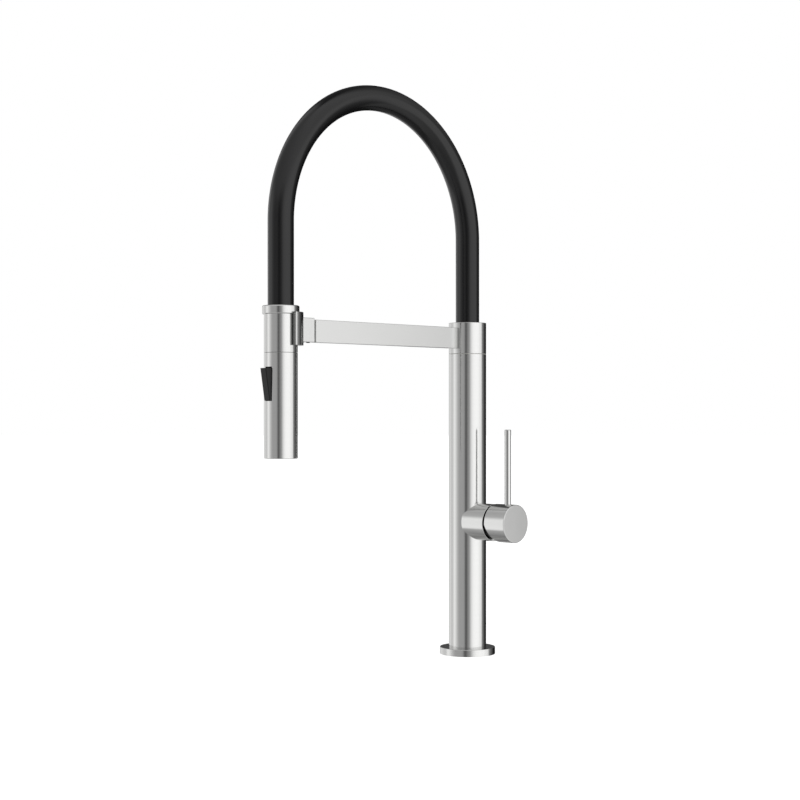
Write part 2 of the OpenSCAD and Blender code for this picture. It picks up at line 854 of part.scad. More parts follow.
module hose_end_nipple() {
    color(brass) at_spray(0) difference() {
        union() {
            translate([0, 0, nipple_flange_z]) cylinder(r = nipple_flange_r, h = nipple_flange_h);
            translate([0, 0, socket_z + gap]) cylinder(r = gland_r, h = socket_depth);
            translate([0, 0, nipple_flange_z]) cylinder(r = nipple_r, h = nipple_flange_h + barb_len);
        }
        translate([0, 0, socket_z])
            cylinder(r = nipple_bore, h = socket_depth + nipple_flange_h + barb_len + eps);
        translate([0, 0, nipple_seal_z - seal_r]) tube(gland_r + eps, gland_r - 2 * seal_r, 2 * seal_r);
    }
}

module nipple_seal() {
    color(black) at_spray(nipple_seal_z) o_ring(gland_r - seal_r, seal_r - seat_slack);
}

module hose_end_nut() {
    color(brass) at_spray(end_nut_z) tube(end_nut_r, hose_r + gap, end_nut_h);
}

module spray_ring() {
    color(steel) at_spray(0) difference() {
        union() {
            translate([0, 0, ring_bottom]) rotate_extrude() union() {
                square([ring_r - ring_round, ring_h]);
                translate([0, ring_round]) square([ring_r, ring_h - 2 * ring_round]);
                for (z = [ring_round, ring_h - ring_round])
                    translate([ring_r - ring_round, z]) circle(r = ring_round);
            }
            translate([0, 0, ring_bottom - skirt_h]) cylinder(r = skirt_r, h = skirt_h + eps);
        }
        translate([0, 0, sleeve_low - gap]) cylinder(r = sleeve_r + gap, h = 2 * ring_h);
        translate([0, 0, ring_bottom - skirt_h - eps]) cylinder(r = end_nut_r, h = skirt_h + ring_h);
    }
}

module spray_upper_body() {
    color(steel) at_spray(seam_z + seam_gap) tube(spray_r, spray_in, upper_h - seam_gap);
}

module keeper_ring() {
    color("dimgray") at_spray(keeper_z) tube(spray_in, spray_in - keeper_t, core_top - keeper_z - gap);
}

// The paddle's slot through the front wall, from its foot to the room that its rocking top needs.
module paddle_window(depth) {
    width = paddle_w + 2 * slot_clear;
    low = paddle_z - paddle_h / 2 - slot_clear;
    at_spray(0) translate([-width / 2, -spray_r - eps, low])
        cube([width, spray_r + eps - depth, paddle_h + rocking_rise + 2 * slot_clear]);
}

module spray_lower_body() {
    color(steel) difference() {
        at_spray(outlet_z) rotate_extrude() polygon([
            [0, 0], [spray_r - edge_c, 0], [spray_r, edge_c], [spray_r, lower_h], [0, lower_h]
        ]);
        at_spray(outlet_z - eps) cylinder(r = spray_in, h = lower_h + 2 * eps);
        paddle_window(pocket_out);
    }
}

// A cylinder along the paddle's hinge axis.
module paddle_pin_place(r, len) {
    translate([0, -reach - pivot_out, paddle_z]) rotate([0, 90, 0]) cylinder(r = r, h = len, center = true);
}

module head_core() {
    color("dimgray") difference() {
        at_spray(core_bottom) union() {
            cylinder(r = core_r, h = keeper_z - core_bottom);
            cylinder(r = core_neck_r, h = core_top - core_bottom);
        }
        at_spray(core_bottom - eps) cylinder(r = channel_r, h = core_top);
        at_spray(socket_z) cylinder(r = gland_r + fit, h = socket_depth + eps);
        at_spray(socket_z - valve_pocket_h) cylinder(r = valve_pocket_r, h = valve_pocket_h + eps);
        paddle_window(pocket_out);
        paddle_pin_place(paddle_pin_r, paddle_pin_len);
        out_of_spray(paddle_z + spool_z) translate([0, 0, -spool_back - spool_travel])
            cylinder(r = spool_r + fit, h = spray_r + spool_back);
    }
}

module check_valve() {
    color("white") at_spray(socket_z - valve_pocket_h)
        tube(valve_pocket_r - seat_slack, channel_r, valve_pocket_h - gap);
}

module diverter_spool() {
    color("white") out_of_spray(paddle_z + spool_z) translate([0, 0, -spool_back]) difference() {
        cylinder(r = spool_r, h = spool_out + spool_back);
        translate([0, 0, spool_back / 2]) tube(spool_r + eps, spool_r / 2, spool_back / 2);
    }
}

module nozzle_face() {
    color(black) at_spray(nozzle_z) difference() {
        cylinder(r = spray_in - fit, h = nozzle_t);
        translate([0, 0, -eps]) cylinder(r = aerator_r, h = nozzle_t + 2 * eps);
        for (turn = [0:jet_step:359]) rotate([0, 0, turn])
            translate([jet_ring, 0, -eps]) cylinder(r = jet_r, h = nozzle_t + 2 * eps, $fn = 16);
    }
}

module aerator() {
    cell = mesh_pitch / 2;
    reach_out = 2 * mesh_pitch;
    color(black) at_spray(aerator_z) difference() {
        cylinder(r = aerator_r - fit, h = aerator_h);
        translate([0, 0, mesh_floor]) cylinder(r = mesh_r + eps, h = aerator_h);
        for (x = [-reach_out:mesh_pitch:reach_out]) for (y = [-reach_out:mesh_pitch:reach_out])
            if (norm([x, y]) < mesh_r)
                translate([x - cell / 2, y - cell / 2, -eps]) cube([cell, cell, mesh_floor + 2 * eps]);
    }
}

module spray_paddle() {
    half = paddle_h / 2;
    hub_back = pivot_out - paddle_hub;
    color(black) at_spray(paddle_z) difference() {
        rotate([0, 0, -90]) rotate([90, 0, 0]) linear_extrude(height = paddle_w, center = true) polygon([
            [paddle_out_low, -half], [paddle_out_top, half], [paddle_back, half],
            [hub_back + paddle_web, paddle_hub], [hub_back, 0],
            [hub_back + paddle_web / 2, -paddle_hub], [paddle_back - paddle_web, -half]
        ]);
        translate([0, -pivot_out, 0]) rotate([0, 90, 0])
            cylinder(r = paddle_pin_r + fit, h = 2 * paddle_w, center = true);
    }
}

module paddle_pin() {
    color(steel) paddle_pin_place(paddle_pin_r, paddle_pin_len);
}

base_flange();
base_gasket();
column_tube();
valve_boss();
mounting_shank();
rubber_washer();
steel_washer();
mounting_nut();
nut_clamp_screws();
mixing_manifold();
riser_tube();
riser_seals();
swivel_spigot();
spigot_seals();
bearing_washer();
cartridge_housing();
port_seals();
fixed_ceramic_disc();
cartridge_nut();
stem_holder();
stem_pivot_pin();
disc_coupler();
moving_ceramic_disc();
lever_stem();
stem_adapter();
handle_cap();
lever_pin();
handle_grub_screw();
swivel_collar();
spout_grub_screw();
support_arm();
arm_screws();
holder_block();
block_grub_screws();
dock_saddle();
saddle_liner();
dock_magnets();
hose_gland();
inner_hose();
hose_spring();
hose_sleeve();
hose_end_nipple();
nipple_seal();
hose_end_nut();
spray_ring();
spray_upper_body();
keeper_ring();
spray_lower_body();
head_core();
check_valve();
diverter_spool();
nozzle_face();
aerator();
spray_paddle();
paddle_pin();
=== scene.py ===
"""Pull down kitchen faucet: the visible pieces and finishes, laid over the fixed CAD frame."""

import json
import logging
import math
from collections.abc import Callable, Iterable, Sequence
from dataclasses import dataclass
from enum import Enum

import bmesh
import bpy
from mathutils import Matrix, Vector


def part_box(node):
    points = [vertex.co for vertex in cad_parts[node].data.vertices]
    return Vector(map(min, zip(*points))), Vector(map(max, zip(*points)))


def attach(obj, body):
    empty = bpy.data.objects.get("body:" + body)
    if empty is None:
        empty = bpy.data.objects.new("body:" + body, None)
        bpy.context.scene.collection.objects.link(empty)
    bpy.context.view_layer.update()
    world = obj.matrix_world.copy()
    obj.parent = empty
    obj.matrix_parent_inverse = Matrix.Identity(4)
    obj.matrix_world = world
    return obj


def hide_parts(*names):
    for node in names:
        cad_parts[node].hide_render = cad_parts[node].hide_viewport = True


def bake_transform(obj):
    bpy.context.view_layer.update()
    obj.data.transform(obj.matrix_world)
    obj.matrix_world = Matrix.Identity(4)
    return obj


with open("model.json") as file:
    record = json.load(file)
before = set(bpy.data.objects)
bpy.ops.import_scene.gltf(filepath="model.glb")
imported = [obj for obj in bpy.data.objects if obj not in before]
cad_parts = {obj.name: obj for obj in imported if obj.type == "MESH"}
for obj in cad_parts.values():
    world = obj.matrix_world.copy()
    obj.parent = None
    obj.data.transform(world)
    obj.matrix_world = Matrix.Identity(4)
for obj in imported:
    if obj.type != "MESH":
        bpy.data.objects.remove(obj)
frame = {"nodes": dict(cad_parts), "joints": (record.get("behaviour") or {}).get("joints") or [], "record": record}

log = logging.getLogger("faucet")
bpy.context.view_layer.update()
MM = 0.001
# How near a corner must lie to a face or a height to count as on it.
TOUCH = 0.01 * MM
# Corners closer than this are merged.
DOUBLE = 1e-7

Picker = Callable[[Vector], bool]


class Axis(Enum):
    """The direction that a turned piece's own axis points in."""

    UP = (0.0, 0.0, 1.0)
    ALONG_X = (1.0, 0.0, 0.0)


# ---------------------------------------------------------------- finishes


def linear(hex_code: str, strength: float = 1.0) -> tuple[float, float, float, float]:
    """Turns an sRGB hex colour to linear light.

    Args:
        hex_code: Six hex digits, such as "C8C7C4".
        strength: A factor on the linear values.

    Returns:
        Linear red, green, blue and an alpha of 1.
    """
    parts = [int(hex_code[i : i + 2], 16) / 255 for i in (0, 2, 4)]
    light = [c / 12.92 if c <= 0.04045 else ((c + 0.055) / 1.055) ** 2.4 for c in parts]
    return (*(c * strength for c in light), 1.0)


def add_node(tree: bpy.types.NodeTree, kind: str, settings: dict | None = None,
             inputs: dict | None = None) -> bpy.types.Node:
    """Adds one node with its settings, and sets or links its inputs.

    Args:
        tree: The node tree to add to.
        kind: The node's type name.
        settings: Values of the node's own properties.
        inputs: Input names or numbers, each with a value or with the output socket to link from.

    Returns:
        The new node.
    """
    node = tree.nodes.new(kind)
    for name, value in (settings or {}).items():
        setattr(node, name, value)
    for name, value in (inputs or {}).items():
        if isinstance(value, bpy.types.NodeSocket):
            tree.links.new(value, node.inputs[name])
        else:
            node.inputs[name].default_value = value
    return node


def set_stops(ramp: bpy.types.ColorRamp, stops: Sequence[tuple[float, float]]) -> None:
    """Writes a grey ramp's stops.

    Args:
        ramp: The colour ramp to fill.
        stops: Pairs of position and grey level, from 0 to 1.
    """
    while len(ramp.elements) > 1:
        ramp.elements.remove(ramp.elements[-1])
    for number, (place, level) in enumerate(stops):
        element = ramp.elements[0] if number == 0 else ramp.elements.new(place)
        element.position = place
        element.color = (level, level, level, 1.0)


def new_material(name: str) -> tuple[bpy.types.Material, bpy.types.NodeTree, bpy.types.Node]:
    """Starts a material with one Principled shader.

    Args:
        name: The material's name.

    Returns:
        The material, its node tree and the shader node.
    """
    material = bpy.data.materials.new(name)
    material.use_nodes = True
    tree = material.node_tree
    tree.nodes.clear()
    shader = add_node(tree, "ShaderNodeBsdfPrincipled")
    add_node(tree, "ShaderNodeOutputMaterial", inputs={"Surface": shader.outputs["BSDF"]})
    return material, tree, shader


@dataclass(frozen=True)
class BrushedStainless:
    """Stainless steel, belt brushed in one direction: soft mirror bands with fine lines along the brushing.

    The lines of a real 240 grit belt are about 0.1 mm apart. They are drawn 0.6 mm apart so that they show.
    """

    name: str
    across: tuple[float, float, float]
    colour: str = "C7C7C6"
    roughness: float = 0.12
    line_mm: float = 0.6
    streak_mm: float = 25.0
    line_depth: float = 0.012

    def make(self) -> bpy.types.Material:
        """Builds the brushed steel, with lines that repeat across one direction of the piece.

        Returns:
            The material.
        """
        material, tree, shader = new_material(self.name)
        fine, long = 1000 / self.line_mm, 1000 / self.streak_mm
        stretch = tuple(fine if part else long for part in self.across)
        place = add_node(tree, "ShaderNodeTexCoord")
        turned_to = add_node(tree, "ShaderNodeMapping", inputs={
            "Vector": place.outputs["Object"], "Scale": stretch})
        lines = add_node(tree, "ShaderNodeTexNoise", inputs={
            "Vector": turned_to.outputs["Vector"], "Scale": 1.0, "Detail": 3.0, "Roughness": 0.6})
        cloud = add_node(tree, "ShaderNodeTexNoise", inputs={
            "Vector": place.outputs["Object"], "Scale": 18.0, "Detail": 2.0})
        tint = add_node(tree, "ShaderNodeMix", {"data_type": "RGBA"}, {
            0: lines.outputs["Fac"], 6: linear(self.colour, 0.955), 7: linear(self.colour, 1.045)})
        rough = add_node(tree, "ShaderNodeMapRange", inputs={
            "Value": lines.outputs["Fac"], "To Min": self.roughness - 0.025,
            "To Max": self.roughness + 0.035})
        worn = add_node(tree, "ShaderNodeMath", {"operation": "MULTIPLY_ADD"}, {
            0: cloud.outputs["Fac"], 1: 0.03, 2: rough.outputs["Result"]})
        bump = add_node(tree, "ShaderNodeBump", inputs={
            "Height": lines.outputs["Fac"], "Strength": 0.25, "Distance": self.line_depth * MM})
        tree.links.new(tint.outputs[2], shader.inputs["Base Color"])
        tree.links.new(worn.outputs["Value"], shader.inputs["Roughness"])
        tree.links.new(bump.outputs["Normal"], shader.inputs["Normal"])
        shader.inputs["Metallic"].default_value = 1.0
        return material


@dataclass(frozen=True)
class GrainedSurface:
    """Any finish that one fine grain describes: a moulded, turned, drawn or lapped surface.

    The grain's size is the real pit or tool mark, in millimetres. Its height moves the highlights a little,
    and the same grain shades the colour and the roughness.
    """

    name: str
    light: str
    dark: str
    roughness: float
    grain_mm: float
    depth_mm: float
    metallic: float = 0.0
    ior: float = 1.5
    spread: float = 0.06
    specular: float = 0.5

    def make(self) -> bpy.types.Material:
        """Builds the grained surface.

        Returns:
            The material.
        """
        material, tree, shader = new_material(self.name)
        place = add_node(tree, "ShaderNodeTexCoord")
        grain = add_node(tree, "ShaderNodeTexNoise", inputs={
            "Vector": place.outputs["Object"], "Scale": 1000 / self.grain_mm, "Detail": 3.0})
        patch = add_node(tree, "ShaderNodeTexNoise", inputs={
            "Vector": place.outputs["Object"], "Scale": 40.0, "Detail": 2.0})
        tint = add_node(tree, "ShaderNodeMix", {"data_type": "RGBA"}, {
            0: patch.outputs["Fac"], 6: linear(self.dark), 7: linear(self.light)})
        rough = add_node(tree, "ShaderNodeMapRange", inputs={
            "Value": grain.outputs["Fac"], "To Min": max(0.02, self.roughness - self.spread),
            "To Max": self.roughness + self.spread})
        bump = add_node(tree, "ShaderNodeBump", inputs={
            "Height": grain.outputs["Fac"], "Strength": 0.4, "Distance": self.depth_mm * MM})
        tree.links.new(tint.outputs[2], shader.inputs["Base Color"])
        tree.links.new(rough.outputs["Result"], shader.inputs["Roughness"])
        tree.links.new(bump.outputs["Normal"], shader.inputs["Normal"])
        shader.inputs["Metallic"].default_value = self.metallic
        if not self.metallic:
            shader.inputs["IOR"].default_value = self.ior
            shader.inputs["Specular IOR Level"].default_value = self.specular
        return material


class FinishShop:
    """Every finish on the faucet, each made once and handed out by name."""

    def __init__(self) -> None:
        """Makes all the finishes."""
        # Steel tubes are brushed round their axis, so the lines repeat along it.
        self.round_z = BrushedStainless("brushed_stainless_upright", (0, 0, 1)).make()
        self.round_x = BrushedStainless("brushed_stainless_sideways", (1, 0, 0)).make()
        # The arm's flat bar is brushed along its length, so the lines repeat up its height. Its rougher finish is
        # the bar's own, but its lighter tone than the other steel is painted light, standing in for the light that
        # the flat faces catch.
        self.brightened_flat_bar = BrushedStainless(
            "brushed_stainless_flat_bar", (0, 0, 1), colour="CCCCCB", roughness=0.2).make()
        # Silicone rubber sleeve: satin black, with the faint orange peel of an extruded skin.
        self.sleeve = GrainedSurface(
            "extruded_silicone_rubber", "0B0B0C", "080809", 0.2, 0.9, 0.004, ior=1.42, spread=0.03).make()
        # ABS keys and trims: black, spark eroded to a fine even grain that greys in the light.
        self.abs = GrainedSurface(
            "moulded_black_abs", "0B0B0C", "080809", 0.3, 0.4, 0.006, ior=1.49, specular=0.25).make()
        # Nitrile seals and hoses: dull black with a soft bloom.
        self.nitrile = GrainedSurface(
            "moulded_nitrile_rubber", "1E1E1F", "151516", 0.6, 0.5, 0.01, ior=1.52).make()
        # Acetal inner mouldings: mid grey and slightly waxy.
        self.acetal = GrainedSurface(
            "moulded_grey_acetal", "6E7072", "626466", 0.38, 0.6, 0.006, ior=1.48).make()
        self.white_acetal = GrainedSurface(
            "moulded_white_acetal", "E4E3DE", "D8D7D1", 0.35, 0.6, 0.006, ior=1.48).make()
        # Lapped alumina discs: off white and nearly mirror smooth.
        self.alumina = GrainedSurface("lapped_alumina", "EDEBE4", "E2E0D8", 0.12, 0.3, 0.002, ior=1.77).make()
        # Turned brass: yellow metal with fine tool marks.
        self.brass = GrainedSurface("turned_brass", "C9A45C", "B8924A", 0.24, 0.35, 0.01, metallic=1.0).make()
        # Cold drawn steel: pins, washers and spring wire, bright with faint drawing lines.
        self.drawn = GrainedSurface(
            "cold_drawn_steel", "B4B4B3", "A3A3A2", 0.26, 0.3, 0.008, metallic=1.0).make()
        # Black oxide screws: a thin dark skin over steel.
        self.oxide = GrainedSurface(
            "black_oxide_steel", "2A2A2C", "1E1E20", 0.4, 0.3, 0.008, metallic=1.0).make()

    def by_slot(self) -> dict[str, bpy.types.Material]:
        """Returns the finish for each of the record's material slots."""
        return {
            "brushed_stainless": self.round_z, "brass": self.brass, "plain_steel": self.drawn,
            "black_screw": self.oxide, "rubber_black": self.nitrile, "black_plastic": self.abs,
            "grey_plastic": self.acetal, "white_ceramic": self.alumina, "white_plastic": self.white_acetal,
        }


# ---------------------------------------------------------------- the modelling bench


def clear_selection() -> None:
    """Leaves edit mode and deselects every object."""
    if bpy.context.object and bpy.context.object.mode != "OBJECT":
        bpy.ops.object.mode_set(mode="OBJECT")
    bpy.ops.object.select_all(action="DESELECT")


def take(piece: bpy.types.Object) -> None:
    """Makes one piece the only selected and the active object.

    Args:
        piece: The piece to work on next.
    """
    clear_selection()
    piece.select_set(True)
    bpy.context.view_layer.objects.active = piece


def open_mesh(piece: bpy.types.Object, mode: str, chosen: Picker | None = None) -> int:
    """Opens a piece in edit mode and selects the faces or edges whose every corner passes a test.

    Args:
        piece: The piece to edit.
        mode: "FACE" or "EDGE".
        chosen: The test on each corner; everything is selected without one.

    Returns:
        How many faces or edges are selected.
    """
    take(piece)
    bpy.ops.object.mode_set(mode="EDIT")
    bpy.ops.mesh.select_mode(type=mode)
    bpy.ops.mesh.select_all(action="DESELECT" if chosen else "SELECT")
    mesh = bmesh.from_edit_mesh(piece.data)
    elements = mesh.faces if mode == "FACE" else mesh.edges
    if chosen:
        for element in elements:
            element.select_set(all(chosen(corner.co) for corner in element.verts))
        bmesh.update_edit_mesh(piece.data)
    return sum(element.select for element in elements)


def close_mesh() -> None:
    """Leaves edit mode."""
    bpy.ops.object.mode_set(mode="OBJECT")


def soften(piece: bpy.types.Object, chosen: Picker, width: float, steps: int = 3,
           along: Sequence[float] | None = None) -> None:
    """Rounds the chosen edges over, as a file or a wheel does.

    Args:
        piece: The piece to work on.
        chosen: The test that both ends of an edge pass.
        width: How wide the rounding is, in metres.
        steps: How many faces the rounding takes.
        along: The direction that the edges run in, where only those are wanted.
    """
    open_mesh(piece, "EDGE", chosen)
    mesh = bmesh.from_edit_mesh(piece.data)
    for edge in mesh.edges:
        if edge.select and along:
            run = (edge.verts[1].co - edge.verts[0].co).normalized()
            edge.select_set(abs(run.dot(Vector(along))) > 0.999)
    bmesh.update_edit_mesh(piece.data)
    if not any(edge.select for edge in mesh.edges):
        raise ValueError(f"{piece.name}: no edge to soften")
    bpy.ops.mesh.bevel(offset=width, segments=steps, affect="EDGES", profile=0.5)
    close_mesh()


def outward(piece: bpy.types.Object) -> None:
    """Merges doubled corners and points every face outwards.

    Args:
        piece: The piece to clean.
    """
    open_mesh(piece, "FACE")
    bpy.ops.mesh.remove_doubles(threshold=DOUBLE)
    bpy.ops.mesh.normals_make_consistent(inside=False)
    close_mesh()


def turned(name: str, profile: Sequence[tuple[float, float]], centre: Sequence[float] = (0, 0, 0),
           axis: Axis = Axis.UP, sides: int = 128) -> bpy.types.Object:
    """Turns a solid as on a lathe, by extruding a disc from step to step.

    Args:
        name: The piece's name.
        profile: Radius and distance along the axis at each step, in metres.
        centre: The point that the distances are measured from.
        axis: The direction that the distances run in.
        sides: How many sides the round has.

    Returns:
        The turned piece, in its place.
    """
    clear_selection()
    radius, height = profile[0]
    bpy.ops.mesh.primitive_circle_add(
        vertices=sides, radius=radius, fill_type="NGON", location=(0, 0, height))
    piece = bpy.context.active_object
    piece.name = piece.data.name = name
    bpy.ops.object.transform_apply(location=True, rotation=True, scale=True)
    open_mesh(piece, "FACE")
    for next_radius, next_height in profile[1:]:
        bpy.ops.mesh.extrude_region_move(
            TRANSFORM_OT_translate={"value": (0, 0, next_height - height)})
        ratio = next_radius / radius
        bpy.ops.transform.resize(value=(ratio, ratio, 1), center_override=(0, 0, next_height))
        radius, height = next_radius, next_height
    close_mesh()
    stand = Matrix.Translation(Vector(centre))
    lay = Vector((0, 0, 1)).rotation_difference(Vector(axis.value)).to_matrix().to_4x4()
    piece.data.transform(stand @ lay)
    outward(piece)
    return piece


def block(name: str, low: Sequence[float], high: Sequence[float]) -> bpy.types.Object:
    """Saws a square-edged blank to its two corners, for the file and the drill to work on.

    Args:
        name: The blank's name.
        low: Its lowest corner.
        high: Its highest corner.

    Returns:
        The blank, in its place.
    """
    clear_selection()
    middle = (Vector(low) + Vector(high)) / 2
    bpy.ops.mesh.primitive_cube_add(size=1, location=middle, scale=Vector(high) - Vector(low))
    piece = bpy.context.active_object
    piece.name = piece.data.name = name
    bpy.ops.object.transform_apply(location=True, rotation=True, scale=True)
    return piece


def carve(piece: bpy.types.Object, tool: bpy.types.Object) -> None:
    """Cuts a tool's shape out of a piece and throws the tool away.

    Args:
        piece: The piece to cut.
        tool: The solid that is taken away from it.
    """
    take(piece)
    cut = piece.modifiers.new("cut", "BOOLEAN")
    cut.operation = "DIFFERENCE"
    cut.solver = "EXACT"
    cut.object = tool
    bpy.ops.object.modifier_apply(modifier=cut.name)
    bpy.data.objects.remove(tool, do_unlink=True)


def slice_off(piece: bpy.types.Object, point: Sequence[float], away: Sequence[float]) -> None:
    """Saws a piece through a plane, closes the cut and drops what lies on the far side.

    Args:
        piece: The piece to saw.
        point: A point on the plane.
        away: The direction that points into what is dropped.
    """
    open_mesh(piece, "FACE")
    bpy.ops.mesh.bisect(plane_co=point, plane_no=away, use_fill=True, clear_outer=True)
    close_mesh()


def finish_piece(piece: bpy.types.Object, material: bpy.types.Material, body: str | None,
                 stands_for: Iterable[str] = (), edge_angle: float = 32.0) -> bpy.types.Object:
    """Smooths, dresses and mounts a piece.

    Args:
        piece: The finished mesh.
        material: Its finish.
        body: The CAD body that it rides on; a hose, which runs between two, takes none and rides on no body.
        stands_for: The CAD nodes that it replaces.
        edge_angle: Edges sharper than this, in degrees, stay crisp.

    Returns:
        The piece.
    """
    outward(piece)
    take(piece)
    bpy.ops.object.shade_smooth_by_angle(angle=math.radians(edge_angle))
    flat = piece.modifiers.new("flat_faces", "WEIGHTED_NORMAL")
    flat.keep_sharp = True
    flat.weight = 100
    bpy.ops.object.modifier_apply(modifier=flat.name)
    piece.data.materials.clear()
    piece.data.materials.append(material)
    if body:
        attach(piece, body)
    if stands_for:
        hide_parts(*stands_for)
    log.info("%s: %d faces on %s", piece.name, len(piece.data.polygons), body or "a bend")
    return piece


# ---------------------------------------------------------------- sizes from the frame


@dataclass(frozen=True)
class Box:
    """A CAD node's box, with the measures that the pieces are built from."""

    low: Vector
    high: Vector

    @classmethod
    def of(cls, node: str) -> "Box":
        """Reads a node's box from the frame."""
        low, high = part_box(node)
        return cls(Vector(low), Vector(high))

    @property
    def middle(self) -> Vector:
        """The box's middle."""
        return (self.low + self.high) / 2

    @property
    def size(self) -> Vector:
        """The box's three sides."""
        return self.high - self.low


@dataclass
class ColumnAssembly:
    """The base flange and the column tube, which stand on the deck."""

    shop: FinishShop
    rim_round: float = 0.45 * MM
    seam_round: float = 0.12 * MM

    def flange(self) -> None:
        """Turns the base flange, with the bright rounded rim round its top."""
        box = Box.of("base_flange")
        radius, top = box.size.x / 2, box.high.z
        bore = Box.of("mounting_shank").size.x / 2
        piece = turned("base_flange_ring", [(radius, 0.0), (radius, top)])
        soften(piece, lambda co: co.z > top - TOUCH and co.xy.length > radius - TOUCH, self.rim_round)
        soften(piece, lambda co: co.z < TOUCH and co.xy.length > radius - TOUCH, self.seam_round, 2)
        carve(piece, turned("flange_bore", [(bore, -radius), (bore, radius)]))
        finish_piece(piece, self.shop.round_z, "faucet_base", ["base_flange"])

    def column(self) -> None:
        """Draws the column tube, hollow, with its top edge broken at the swivel seam."""
        box = Box.of("column_tube")
        radius, low, high = box.size.x / 2, Box.of("base_flange").high.z, box.high.z
        bore = Box.of("swivel_spigot").size.x / 2
        piece = turned("column_shell", [(radius, low), (radius, high)])
        soften(piece, lambda co: co.z > high - TOUCH and co.xy.length > radius - TOUCH, self.seam_round)
        carve(piece, turned("column_bore", [(bore, low - radius), (bore, high + radius)]))
        valve = Box.of("valve_boss").middle.z
        port = Box.of("cartridge_nut").size.y / 2
        carve(piece, turned("valve_port", [(port, 0.0), (port, 2 * radius)], (0, 0, valve), Axis.ALONG_X))
        finish_piece(piece, self.shop.round_z, "faucet_base", ["column_tube"])

    def build(self) -> None:
        """Builds both pieces."""
        self.flange()
        self.column()


@dataclass
class ValveAssembly:
    """The valve boss on the column's side, and the handle cap with its pin lever."""

    shop: FinishShop
    edge_round: float = 0.35 * MM
    face_round: float = 0.6 * MM
    tip_round: float = 0.7 * MM
    relief_start: float = 1.0 * MM

    def boss(self) -> None:
        """Turns the boss, saddles it onto the column and bores it for the cartridge."""
        box = Box.of("valve_boss")
        column = Box.of("column_tube").size.x / 2
        radius, end, height = box.size.y / 2, box.high.x, box.middle.z
        bore = Box.of("cartridge_nut").size.y / 2
        centre = (0, 0, height)
        piece = turned("valve_boss_shell", [(radius, box.low.x), (radius, end)], centre, Axis.ALONG_X)
        soften(piece, lambda co: co.x > end - TOUCH, self.edge_round)
        carve(piece, turned("column_saddle", [(column, -column), (column, column)], centre))
        carve(piece, turned("cartridge_bore", [(bore, 0.0), (bore, 2 * end)], centre, Axis.ALONG_X))
        finish_piece(piece, self.shop.round_x, "faucet_base", ["valve_boss"])

    def cap(self) -> None:
        """Turns the handle cap, saws its relieved inner end and hollows it."""
        box = Box.of("handle_cap")
        adapter = Box.of("stem_adapter")
        lift = next(j for j in frame["joints"] if j["name"] == "flow_lift")
        tilt = math.radians(lift["range_deg"][1])
        radius, near, far, height = box.size.y / 2, box.low.x, box.high.x, box.middle.z
        wall = radius - adapter.size.y / 2
        centre = (0, 0, height)
        piece = turned("handle_cap_shell", [(radius, near - radius), (radius, far)], centre, Axis.ALONG_X)
        soften(piece, lambda co: co.x > far - TOUCH, self.face_round, 4)
        slice_off(piece, (near, 0, height), (-1, 0, 0))
        relief = (near, 0, height - self.relief_start)
        slice_off(piece, relief, (-math.cos(tilt), 0, -math.sin(tilt)))

        def on_inner_end(co: Vector) -> bool:
            """True on the flat and the slanted inner end faces."""
            drop = max(0.0, relief[2] - co.z)
            return abs(co.x - near - math.tan(tilt) * drop) < TOUCH

        soften(piece, on_inner_end, self.edge_round / 2, 2)
        piece_depth = adapter.high.x - near
        tool = turned("cap_cavity", [(radius - wall, near - radius), (radius - wall, near + piece_depth)],
                      centre, Axis.ALONG_X)
        carve(piece, tool)
        lever = Box.of("lever_pin")
        carve(piece, turned("lever_bore", [(lever.size.x / 2, 0.0), (lever.size.x / 2, 2 * radius)],
                            (lever.middle.x, 0, lever.low.z)))
        finish_piece(piece, self.shop.round_x, "handle", ["handle_cap"])

    def lever(self) -> None:
        """Turns the pin lever with its rounded tip."""
        box = Box.of("lever_pin")
        radius, low, high = box.size.x / 2, box.low.z, box.high.z
        piece = turned("pin_lever_rod", [(radius, low), (radius, high)], (box.middle.x, 0, 0), sides=64)
        soften(piece, lambda co: co.z > high - TOUCH, self.tip_round, 4)
        finish_piece(piece, self.shop.round_z, "handle", ["lever_pin"])

    def build(self) -> None:
        """Builds the three pieces."""
        self.boss()
        self.cap()
        self.lever()


